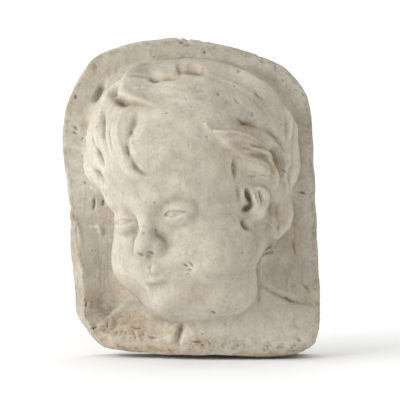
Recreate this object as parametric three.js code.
// Cherub wall plaque: a child's head in high relief on an arched slab, cast in plaster in one piece.
// Millimetres. +Z up, +X to the viewer's right. The flat back lies in the plane y = 0 and the
// relief faces -Y. The origin is the middle of the back.
import * as THREE from 'three';

// Driving dimensions of the slab
const PLAQUE_WIDTH = 276;
const PLAQUE_HEIGHT = 340;
const SLAB_THICKNESS = 27;
const RIM_ROUNDING = 2.4;
const EDGE_DRAFT = 8.5;
const LEFT_HOLLOW_DEPTH = 16;
const TOP_HOLLOW_DEPTH = 5;

// Driving dimensions of the figure
const HEAD_HEIGHT = 260;
const RELIEF_SHARE = 0.84;
const TURN_DEG = 37;
const NOD_DEG = 5;
const TILT_DEG = 9;

// Fineness of the facets: cells across and up the front, and along the rounding of the rim
const COLUMNS = 58;
const ROWS = 70;
const RIM_STEPS = 2;
// Where the cells are closest, as shares of width and height, and how much closer they are there
const FINE_PLACE = [0.42, 0.43];
const FINE_SHARE = 0.4;
// Finer places worked out for each cell, each way, before they are averaged
const FINER = 2;

// Every size of the figure below is in parts: a part is the 250th of the head's height
const PART = HEAD_HEIGHT / 250;

// The rim of the slab, in hundredths of its half width and half height, anticlockwise from the crown
const RIM = [
  [-11, 100], [-34, 98.5], [-56, 94.5], [-75, 87.5], [-86, 76.5], [-93, 65], [-98, 53], [-100, 35],
  [-99, 20], [-95.5, -10], [-95, -33], [-91.5, -58], [-90, -75], [-84, -83], [-70, -95.5], [-50, -98],
  [-10, -98.8], [40, -99.6], [68, -100], [83, -98.5], [92.5, -94.5], [98, -84], [99.6, -64],
  [97.5, -26], [95.5, 11], [94, 36], [90.5, 61], [85.5, 69], [74, 80], [55, 88], [28, 95],
];

// Strokes of the modelling tool: from, control and to points as x, z, then width, height and edge
// share. A negative height is a hollow. An edge share under 1 makes the right-hand side steeper.
const STROKES = [
  // outer edge of the locks on the left, running down
  [-61, 122, -84, 114, -92, 92, 6, 5, 0.4],
  [-92, 95, -102, 70, -106, 44, 6, 5, 0.4],
  [-106, 47, -109, 29, -95, 13, 5, 5, 0.5],
  // tuft of the crown, its sharp left edge and the ridge under it
  [-46, 134, -50, 116, -64, 103, 9, 5, 1],
  [-50, 135, -64, 120, -75, 99, 7, 8, 0.3],
  [-74, 102, -60, 100, -34, 94, 6, 4.5, 0.4],
  // forelock: body, curled tip and the fine ridge in its crease
  [-60, 94, -78, 68, -71, 42, 7, 4, 1],
  [-71, 46, -68, 24, -44, 21, 4.5, 3, 1],
  [-61, 64, -60, 58, -56, 51, 2, 2.4, 1],
  // edge of the cap of hair, running up on the right and back over the top
  [98, 2, 111, 38, 104, 68, 5, 5, 0.4],
  [105, 60, 98, 84, 84, 104, 6, 5, 0.35],
  [92, 92, 78, 118, 40, 132, 6, 5, 0.35],
  [52, 130, 6, 141, -48, 136, 7, 4, 0.4],
  [97, 51, 97, 33, 92, 15, 2.4, 5, 1],
  [100, 80, 105, 50, 99, 10, 2.2, 2.2, 1],
  // big lock that swirls back over the ear, and its edge against the temple
  [12, 81, 14, 74, 20, 69, 2.4, 1.2, 1],
  [15, 69, 30, 67, 48, 67, 2, 2.4, 1],
  [24, 67, 48, 65, 77, 51, 9, 6, 1],
  [22, 69, 35, 50, 61, 40, 6, 3, 0.5],
  [52, 49, 70, 53, 82, 40, 2.6, 6, 1],
  [72, 49, 83, 38, 84, 9, 2.6, 7, 1],
  [49, 33, 73, 40, 86, 15, 8, 6, 1],
  // strands of the nape
  [100, 0, 96, -18, 96, -36, 4.5, 5, 1],
  [98, -26, 86, -34, 80, -50, 3.6, 5, 1],
  [78, -26, 72, -42, 70, -62, 5, 3, 1],
  // hollows between the locks on the left
  [-89, 117, -96, 109, -102, 96, 3, -9, 1],
  [-71, 114, -78, 109, -83, 101, 4, -7, 1],
  [-78, 103, -74, 96, -62, 96, 3.6, -9, 1],
  [-52, 88, -62, 72, -64, 54, 3.6, -4.5, 0.6],
  [-64, 59, -66, 48, -61, 39, 2.6, -4.5, 0.6],
  [-61, 42, -58, 28, -42, 24, 2.8, -4.5, 0.6],
  [-87, 88, -90, 70, -87, 52, 2.4, -4, 1],
  [-96, 53, -94, 43, -88, 32, 1.9, -6, 1],
  [-100, 32, -96, 24, -89, 14, 4, -6.5, 0.7],
  // hollows of the crown
  [-12, 132, -13, 129, -11, 126, 5, -5.5, 0.4],
  [-10, 130, 0, 129, 16, 126, 3.4, -3.5, 1],
  [-44, 122, -39, 119, -31, 119, 3.4, -4.5, 0.6],
  [-36, 120, -22, 120, -8, 122, 2.6, -2, 0.6],
  // hollows above and behind the ear
  [47, 75, 57, 80, 69, 71, 4.2, -7, 0.4],
  [66, 73, 88, 69, 98, 41, 2.8, -3, 1],
  [80, 52, 91, 46, 89, 17, 5.5, -17, 1],
  [42, 41, 41, 32, 44, 22, 4.6, -4.5, 0.35],
  [46, 17, 48, 7, 48, -3, 4.2, -3, 0.7],
  [82, 1, 89, -10, 84, -23, 7.5, -7, 1],
  // ear: front, rim, inner fold, lobe and hollows
  [51, -2, 48, 12, 62, 12, 3, 2, 1],
  [62, 12, 80, 10, 74, -10, 2.6, 4, 0.6],
  [60, 10, 66, 2, 67, -10, 2, 3.4, 1],
  [73, -6, 70, -21, 58, -19, 4, 3.4, 1],
  [54, 13, 57, 5, 59, -5, 2.3, -9, 1],
  [60, -3, 59, -10, 52, -8, 3, -10, 1],
  [67, 11, 71, 4, 70, -3, 1.7, -3, 1],
  [51, -17, 52, -27, 60, -29, 3, -6, 1],
  // cleft of the chest and the lines of the two shoulders
  [-8, -127, -17, -136, -14, -150, 4.2, -6.5, 0.45],
  [-11, -124, 6, -132, 4, -148, 4, 2.4, 0.6],
  [64, -84, 92, -106, 124, -109, 2.4, -3, 1],
  [-62, -104, -84, -126, -104, -140, 5, 2.6, 0.6],
];

// Fans of strands: outermost line, innermost line, how many, width, height and edge share
const FANS = [
  [[-96, 40, -98, 86, -78, 104], [-56, 32, -81, 58, -66, 92], 5, 3.6, 1.7, 0.5],
  [[28, 65, 50, 71, 80, 47], [37, 53, 54, 55, 76, 46], 3, 2, 1, 0.6],
  [[53, 41, 77, 43, 89, 9], [52, 25, 65, 29, 78, 16], 4, 2, 1.1, 0.6],
  [[100, -2, 98, -22, 88, -38], [88, -2, 86, -20, 78, -42], 3, 3, 1.8, 0.8],
  [[-40, 128, -10, 118, 30, 122], [-34, 100, -10, 100, 24, 96], 4, 5, 1, 0.6],
  [[60, 116, 84, 100, 94, 56], [30, 104, 56, 100, 74, 76], 4, 4, 0.9, 0.6],
];

// A stroke finer than the facets is widened to this and lowered by the same share
const LEAST_WIDTH = 3.6;
const LEAST_EDGE = 0.6;

// Near distance to an ellipsoid, negative inside
function ellipsoid(p, centre, radii) {
  const x = (p[0] - centre[0]) / radii[0];
  const y = (p[1] - centre[1]) / radii[1];
  const z = (p[2] - centre[2]) / radii[2];
  const reach = Math.hypot(x, y, z);
  const slope = Math.hypot(x / radii[0], y / radii[1], z / radii[2]) + 1e-6;
  return reach * (reach - 1) / slope;
}

// The same with cubes for squares: a flatter top and a steeper edge
function cushion(p, centre, radii) {
  const shares = p.map((v, i) => Math.abs(v - centre[i]) / radii[i]);
  const reach = Math.cbrt(shares[0] ** 3 + shares[1] ** 3 + shares[2] ** 3) + 1e-6;
  const slope = Math.hypot(...shares.map((v, i) => (v / reach) ** 2 / radii[i])) + 1e-6;
  return (reach - 1) / slope;
}

// Distance to a rod with round ends and two end radii
function rod(p, start, end, startRadius, endRadius) {
  const run = [end[0] - start[0], end[1] - start[1], end[2] - start[2]];
  const off = [p[0] - start[0], p[1] - start[1], p[2] - start[2]];
  const length2 = run[0] ** 2 + run[1] ** 2 + run[2] ** 2;
  const share = THREE.MathUtils.clamp(
    (off[0] * run[0] + off[1] * run[1] + off[2] * run[2]) / length2, 0, 1);
  const gap = Math.hypot(
    off[0] - share * run[0], off[1] - share * run[1], off[2] - share * run[2]);
  return gap - startRadius - (endRadius - startRadius) * share;
}

// Union of two distances with a soft seam of the given width
function join(a, b, seam) {
  const overlap = Math.max(seam - Math.abs(a - b), 0) / seam;
  return Math.min(a, b) - overlap * overlap * seam / 4;
}

// Intersection of two distances with a soft edge
function keep(a, b, seam) {
  return -join(-a, -b, seam);
}

// Takes one form out of another with a soft edge
function carveOut(a, b, seam) {
  return keep(a, -b, seam);
}

// Skull centre in the relief and in the head's own axes: left, forwards, up
const SKULL_PLACE = [3, 19, 42];
const SKULL_LOCAL = [0, -6, 34];
const HEAD_FULLNESS = 1.03;

function headAxes() {
  const turn = THREE.MathUtils.degToRad(TURN_DEG);
  const nod = THREE.MathUtils.degToRad(NOD_DEG);
  const tilt = THREE.MathUtils.degToRad(TILT_DEG);
  const side = new THREE.Vector3(Math.cos(turn), Math.sin(turn), 0);
  const ahead = new THREE.Vector3(-Math.sin(turn), Math.cos(turn), 0);
  const up = new THREE.Vector3(0, 0, 1);
  const front = ahead.clone().multiplyScalar(Math.cos(nod)).addScaledVector(up, -Math.sin(nod));
  const crown = up.clone().multiplyScalar(Math.cos(nod)).addScaledVector(ahead, Math.sin(nod));
  const left = side.clone().multiplyScalar(Math.cos(tilt)).addScaledVector(crown, Math.sin(tilt));
  const top = crown.clone().multiplyScalar(Math.cos(tilt)).addScaledVector(side, -Math.sin(tilt));
  return [left.toArray(), front.toArray(), top.toArray()];
}

const HEAD_AXES = headAxes();

function toHead(p) {
  const x = p[0] - SKULL_PLACE[0];
  const q = (p[1] - SKULL_PLACE[1]) / RELIEF_SHARE;
  const z = p[2] - SKULL_PLACE[2];
  return HEAD_AXES.map((axis, i) =>
    (x * axis[0] + q * axis[1] + z * axis[2]) / HEAD_FULLNESS + SKULL_LOCAL[i]);
}

// Levels of the face as shares of the way from the chin to the crown
const CROWN = 120;
const CHIN = -112;
const level = (share) => CHIN + share * (CROWN - CHIN);
const BROW = level(0.5);
const EYES = level(0.41);
const NOSE_BASE = level(0.26);
const LIPS = level(0.17);
const EYE_WIDTH = 31;

// Skull, cheeks, chin and the rolls under the chin; m is the point mirrored to one side
function headMass(h, m) {
  let d = ellipsoid(h, [0, -10, CROWN - 84], [92, 98, 84]);
  d = join(d, ellipsoid(h, [0, 30, CROWN - 80], [74, 62, 56]), 26);
  d = join(d, ellipsoid(h, [0, 18, EYES - 23], [76, 62, 62]), 36);
  d = join(d, ellipsoid(m, [38, 42, NOSE_BASE - 8], [40, 39, 36]), 24);
  d = join(d, ellipsoid(h, [0, 68, CHIN + 14], [20, 18, 14]), 22);
  d = join(d, ellipsoid(h, [0, 22, CHIN + 6], [60, 46, 27]), 24);
  return join(d, rod(m, [0, 30, CHIN - 16], [38, 2, CHIN], 14, 10), 4);
}

// Socket cut out, brow and eyeball joined on, and lids as a thin shell with an almond opening
function eyes(d, m) {
  d = carveOut(d, ellipsoid(m, [EYE_WIDTH + 3, 103, EYES + 2], [23, 16, 12]), 14);
  d = join(d, rod(m, [12, 83, BROW - 1], [44, 72, BROW + 1], 6, 5), 18);
  const ball = ellipsoid(m, [EYE_WIDTH, 67, EYES], [17.5, 17.5, 17.5]);
  const arch = 1 - THREE.MathUtils.clamp((m[0] - EYE_WIDTH) / (EYE_WIDTH / 2), -1.3, 1.3) ** 2;
  const up = m[2] - EYES;
  const opening = Math.max(up + 1 - 5 * arch, -1 - 3.4 * arch - up);
  const lids = carveOut(ball - 1.9, opening, 1.2);
  d = join(d, ball, 2);
  return join(d, keep(lids, ellipsoid(m, [EYE_WIDTH, 78, EYES], [21, 18, 13.5]), 4), 4);
}

function nose(d, h, m) {
  d = join(d, rod(h, [0, 83, EYES + 11], [0, 93, NOSE_BASE + 16], 6.5, 7.2), 13);
  d = join(d, ellipsoid(h, [0, 97, NOSE_BASE + 10], [10, 10, 8.6]), 8);
  d = join(d, ellipsoid(m, [10, 90, NOSE_BASE + 6], [6.5, 8.5, 6.3]), 5);
  return carveOut(d, ellipsoid(m, [5.4, 97, NOSE_BASE], [3.2, 6, 3.4]), 2.5);
}

function mouth(d, h, m) {
  d = join(d, ellipsoid(h, [0, 73, LIPS + 5], [27, 19, 18]), 18);
  d = join(d, rod(m, [3.2, 92, LIPS + 5.2], [15, 85, LIPS + 2.4], 4.2, 2.6), 5);
  d = join(d, rod(m, [0, 90, LIPS - 4.6], [11, 86, LIPS - 3], 5.6, 3.4), 5);
  d = carveOut(d, rod(h, [0, 95, NOSE_BASE - 4], [0, 97, LIPS + 10], 2.2, 2.2), 4);
  return carveOut(d, rod(m, [0, 92, LIPS - 14.5], [9, 89, LIPS - 13.5], 3.6, 2.6), 9);
}

function head(p) {
  const h = toHead(p);
  const m = [Math.abs(h[0]), h[1], h[2]];
  let d = eyes(headMass(h, m), m);
  d = nose(d, h, m);
  d = mouth(d, h, m);
  return d * RELIEF_SHARE * HEAD_FULLNESS;
}

// Cap of hair, cut off along the hairline at the lower left, with its mass at the nape
function hair(p) {
  const cap = cushion(p, [0, 2, 46], [106, 74, 94]);
  const hairline = -0.62 * (p[0] + 100) - 0.785 * (p[2] - 15);
  const nape = cushion(p, [60, 4, -4], [41, 48, 44]);
  return join(keep(cap, hairline, 14), nape, 14) * HAIR_EASE;
}

function ear(p) {
  const shell = ellipsoid(p, [63, 70, -3], [15, 15, 17]);
  return join(shell, ellipsoid(p, [58, 69, -17], [9, 14, 8]), 7);
}

// Neck, chest and the two shoulders
function shoulders(p) {
  let d = rod(p, [36, 10, -48], [14, 14, -114], 46, 54);
  d = join(d, ellipsoid(p, [6, 0, -182], [135, 42, 66]), 14);
  d = join(d, ellipsoid(p, [52, -30, -190], [183, 86, 142]), 24);
  return join(d, rod(p, [-50, 10, -150], [-92, 8, -176], 32, 31), 5);
}

// Signed distance to the whole figure, in parts
function figure(p) {
  let d = join(head(p), hair(p), 12);
  d = join(d, ear(p), 5);
  return join(d, shoulders(p), 5);
}

function fan([outer, inner, count, ...shape]) {
  return Array.from({ length: count }, (_, i) => {
    const share = i / (count - 1);
    return [...outer.map((v, k) => v + share * (inner[k] - v)), ...shape];
  });
}

// A stroke as a row of soft dabs, low at both ends, each with the direction to its right
function strokeDabs([ax, az, cx, cz, bx, bz, finest, height, edge]) {
  const path = new THREE.QuadraticBezierCurve(
    new THREE.Vector2(ax, az), new THREE.Vector2(cx, cz), new THREE.Vector2(bx, bz));
  const width = Math.max(finest, LEAST_WIDTH);
  const count = Math.ceil(path.getLength() / (width / 2));
  const spacing = path.getLength() / count;
  const share = 1.15 * height * (finest / width) * spacing / (width * Math.sqrt(Math.PI));
  return path.getSpacedPoints(count).map((point, i) => {
    const heading = path.getTangentAt(i / count);
    return {
      x: point.x,
      z: point.y,
      right: [heading.y, -heading.x],
      width,
      edge: Math.max(edge, LEAST_EDGE),
      height: share * Math.sin(Math.PI * i / count),
    };
  });
}

const DABS = [...STROKES, ...FANS.flatMap(fan)].flatMap(strokeDabs);

// Height of the carving over the smooth form, in parts
function carving(x, z) {
  let height = 0;
  for (const dab of DABS) {
    const overX = x - dab.x;
    const overZ = z - dab.z;
    const across = Math.max(overX * dab.right[0] + overZ * dab.right[1], 0);
    const gap2 = overX ** 2 + overZ ** 2 + across ** 2 * (dab.edge ** -2 - 1);
    height += dab.height * Math.exp(-gap2 / dab.width ** 2);
  }
  return height;
}

// Soft dip of the slab's face, one at its middle and fading over the two spans
function dip(x, z, centreX, centreZ, spanX, spanZ) {
  return Math.exp(-(((x - centreX) / spanX) ** 2 + ((z - centreZ) / spanZ) ** 2));
}

function slabFace(x, z) {
  const u = x / (PLAQUE_WIDTH / 2);
  const w = z / (PLAQUE_HEIGHT / 2);
  return SLAB_THICKNESS
    - LEFT_HOLLOW_DEPTH * dip(u, w, -0.66, -0.5, 0.19, 0.34)
    - TOP_HOLLOW_DEPTH * dip(u, w, -0.62, 0.65, 0.28, 0.25);
}

// Seam between the figure and the slab, in parts
const FIGURE_SEAM = 7;

// A face that isn't level is nearer than its height says, so heights over the slab and distances
// to the hair are lowered a little
const SLAB_EASE = 0.8;
const HAIR_EASE = 0.85;

// Signed distance to figure and slab in millimetres; q runs from the back towards the viewer
function relief([x, q, z]) {
  const body = figure([x / PART, q / PART, z / PART]) * PART;
  return join(body, (q - slabFace(x, z)) * SLAB_EASE, FIGURE_SEAM * PART);
}

// The line along which a place of the grid meets the relief. Lines lean away from the middle of
// the head, so that steep flanks are met squarely, and stand upright at the rim.
const LEAN = 0.83 / PLAQUE_WIDTH;
const LEAN_CENTRE = [4 * PART, 20 * PART];
const NEAR_SIDE = 125;
const MARCH_STEPS = 40;
const MARCH_SHARE = 0.85;

function meetRelief(x, z, lean) {
  const leanX = lean * (x - LEAN_CENTRE[0]);
  const leanZ = lean * (z - LEAN_CENTRE[1]);
  const along = (q) => {
    const rise = q - SLAB_THICKNESS;
    return [x + leanX * rise, q, z + leanZ * rise];
  };
  let q = NEAR_SIDE * PART;
  for (let i = 0; i < MARCH_STEPS; i += 1) q -= relief(along(q)) * MARCH_SHARE;
  return along(Math.max(q, SLAB_THICKNESS / 3));
}

// Outward direction of the relief at a point
function outward(p) {
  const step = 0.5;
  const rise = [0, 1, 2].map((axis) => {
    const ahead = [...p];
    const behind = [...p];
    ahead[axis] += step;
    behind[axis] -= step;
    return relief(ahead) - relief(behind);
  });
  return new THREE.Vector3(...rise).normalize();
}

function carvedPoint(x, z, lean) {
  const p = meetRelief(x, z, lean);
  const height = carving(p[0] / PART, p[2] / PART) * PART;
  const out = outward(p);
  return [p[0] + out.x * height, p[1] + out.y * height, p[2] + out.z * height];
}

// The rim as a closed smooth loop, cut at four corners into the sides of the grid
function rimLoop() {
  const points = RIM.map(([x, z]) =>
    new THREE.Vector3(x / 100 * PLAQUE_WIDTH / 2, z / 100 * PLAQUE_HEIGHT / 2, 0));
  return new THREE.CatmullRomCurve3(points, true, 'centripetal');
}

const RIM_LOOP = rimLoop();
const LOOP_PLACES = 720;

// Share of the loop nearest to a direction from the middle, given in degrees
function loopShare(degrees) {
  const turn = THREE.MathUtils.degToRad(degrees);
  const aim = new THREE.Vector3(Math.cos(turn), Math.sin(turn), 0);
  const places = RIM_LOOP.getSpacedPoints(LOOP_PLACES);
  const scores = places.map((place) => place.normalize().dot(aim));
  return scores.indexOf(Math.max(...scores)) / LOOP_PLACES;
}

// Directions of the grid's corners: upper left, lower left, lower right, upper right
const CORNERS = [126, 232, 308, 52].map(loopShare);

// Moves shares from 0 to 1 closer together near one place and apart elsewhere
function crowd(share, place) {
  const wave = Math.sin(2 * Math.PI * (share - place)) + Math.sin(2 * Math.PI * place);
  return share - FINE_SHARE * wave / (2 * Math.PI);
}

// How far the front edge stands in from the back edge: most at the lower left
function draft(x, z) {
  return EDGE_DRAFT * dip(x / (PLAQUE_WIDTH / 2), z / (PLAQUE_HEIGHT / 2), -0.93, -0.55, 0.26, 0.52);
}

// Places along one side of the grid, from corner to corner, moved inwards from the rim
function side(from, to, count, fine, inset, lift = 1) {
  const run = (to - from + 1) % 1;
  return Array.from({ length: count + 1 }, (_, i) => {
    const share = (from + run * crowd(i / count, fine)) % 1;
    const place = RIM_LOOP.getPointAt(share);
    const along = RIM_LOOP.getTangentAt(share);
    const moved = inset + lift * draft(place.x, place.y);
    return [place.x - along.y * moved, place.y + along.x * moved];
  });
}

// Smooth net of carved points over the front, stretched between its four sides
function frontNet(columns, rows) {
  const [upperLeft, lowerLeft, lowerRight, upperRight] = CORNERS;
  const [across, up] = FINE_PLACE;
  const left = side(upperLeft, lowerLeft, rows, 1 - up, RIM_ROUNDING).reverse();
  const bottom = side(lowerLeft, lowerRight, columns, across, RIM_ROUNDING);
  const right = side(lowerRight, upperRight, rows, up, RIM_ROUNDING);
  const top = side(upperRight, upperLeft, columns, 1 - across, RIM_ROUNDING).reverse();
  return Array.from({ length: (rows + 1) * (columns + 1) }, (_, n) => {
    const row = Math.floor(n / (columns + 1));
    const column = n % (columns + 1);
    const u = crowd(column / columns, across);
    const v = crowd(row / rows, up);
    const [x, z] = [0, 1].map((k) =>
      (1 - v) * bottom[column][k] + v * top[column][k]
      + (1 - u) * left[row][k] + u * right[row][k]
      - (1 - u) * (1 - v) * bottom[0][k] - u * (1 - v) * bottom[columns][k]
      - (1 - u) * v * top[0][k] - u * v * top[columns][k]);
    const inner = Math.min(1, 10 * Math.min(u, 1 - u), 10 * Math.min(v, 1 - v));
    return carvedPoint(x, z, LEAN * inner * inner * (3 - 2 * inner));
  });
}

// Corners of the facets: each is the mean of the finer points round it, nearest counted most
function frontPoints() {
  const wide = COLUMNS * FINER + 1;
  const finer = frontNet(COLUMNS * FINER, ROWS * FINER);
  return Array.from({ length: (ROWS + 1) * (COLUMNS + 1) }, (_, n) => {
    const row = Math.floor(n / (COLUMNS + 1));
    const column = n % (COLUMNS + 1);
    const reach = row % ROWS && column % COLUMNS ? FINER - 1 : 0;
    const mean = [0, 0, 0];
    let total = 0;
    for (let i = -reach; i <= reach; i += 1) {
      for (let j = -reach; j <= reach; j += 1) {
        const weight = (FINER - Math.abs(i)) * (FINER - Math.abs(j));
        const point = finer[(row * FINER + i) * wide + column * FINER + j];
        point.forEach((v, k) => { mean[k] += weight * v; });
        total += weight;
      }
    }
    return mean.map((v) => v / total);
  });
}

// Order of the net's border, anticlockwise as the viewer sees it, from the lower left corner
function borderOrder() {
  const at = (row, column) => row * (COLUMNS + 1) + column;
  const order = [];
  for (let c = 0; c < COLUMNS; c += 1) order.push([at(0, c), 1, c]);
  for (let r = 0; r < ROWS; r += 1) order.push([at(r, COLUMNS), 2, r]);
  for (let c = COLUMNS; c > 0; c -= 1) order.push([at(ROWS, c), 3, COLUMNS - c]);
  for (let r = ROWS; r > 0; r -= 1) order.push([at(r, 0), 0, ROWS - r]);
  return order;
}

// Rounded edge and side wall: rings of points from the net's border out and back to the wall
function rimRings(border) {
  const counts = [ROWS, COLUMNS, ROWS, COLUMNS];
  const [across, up] = FINE_PLACE;
  const fine = [1 - up, across, up, 1 - across];
  const rings = [];
  for (let step = 1; step <= RIM_STEPS + 1; step += 1) {
    const angle = Math.min(step / RIM_STEPS, 1) * Math.PI / 2;
    const inset = RIM_ROUNDING * (1 - Math.sin(angle));
    const lift = step > RIM_STEPS ? 0 : 1;
    const sides = CORNERS.map((from, k) =>
      side(from, CORNERS[(k + 1) % 4], counts[k], fine[k], inset, lift));
    rings.push(border.map(({ q, edge, index }) => {
      const [x, z] = sides[edge][index];
      const depth = step > RIM_STEPS ? 0 : q - RIM_ROUNDING * (1 - Math.cos(angle));
      return [x, depth, z];
    }));
  }
  return rings;
}

// Two triangles between each pair of neighbours on two rings
function band(inner, outer) {
  return inner.flatMap((a, i) => {
    const next = (i + 1) % inner.length;
    return [a, outer[i], inner[next], inner[next], outer[i], outer[next]];
  });
}

function frontFaces() {
  const faces = [];
  for (let row = 0; row < ROWS; row += 1) {
    for (let column = 0; column < COLUMNS; column += 1) {
      const a = row * (COLUMNS + 1) + column;
      const b = a + COLUMNS + 1;
      faces.push(a, a + 1, b, b, a + 1, b + 1);
    }
  }
  return faces;
}

function backFaces(ring, points) {
  const outline = ring.map((n) => new THREE.Vector2(points[n][0], points[n][2]));
  return THREE.ShapeUtils.triangulateShape(outline, [])
    .flatMap(([a, b, c]) => [ring[a], ring[c], ring[b]]);
}

function plaqueGeometry() {
  const points = frontPoints();
  const order = borderOrder();
  const border = order.map(([n, edge, index]) => ({ q: points[n][1], edge, index }));
  let faces = frontFaces();
  let inner = order.map(([n]) => n);
  for (const ring of rimRings(border)) {
    const outer = ring.map((_, i) => points.length + i);
    points.push(...ring);
    faces = faces.concat(band(inner, outer));
    inner = outer;
  }
  faces = faces.concat(backFaces(inner, points));
  const geometry = new THREE.BufferGeometry();
  const places = points.flatMap(([x, q, z]) => [x, -q, z]);
  geometry.setAttribute('position', new THREE.Float32BufferAttribute(places, 3));
  geometry.setIndex(faces);
  return geometry;
}

const plaster = new THREE.MeshStandardMaterial({ color: 0xc9c2b2, roughness: 0.85, metalness: 0 });
const plaque = new THREE.Mesh(plaqueGeometry(), plaster);
plaque.name = 'plaque';

const part = new THREE.Group();
part.name = 'cherub_wall_plaque';
part.add(plaque);

export default part;
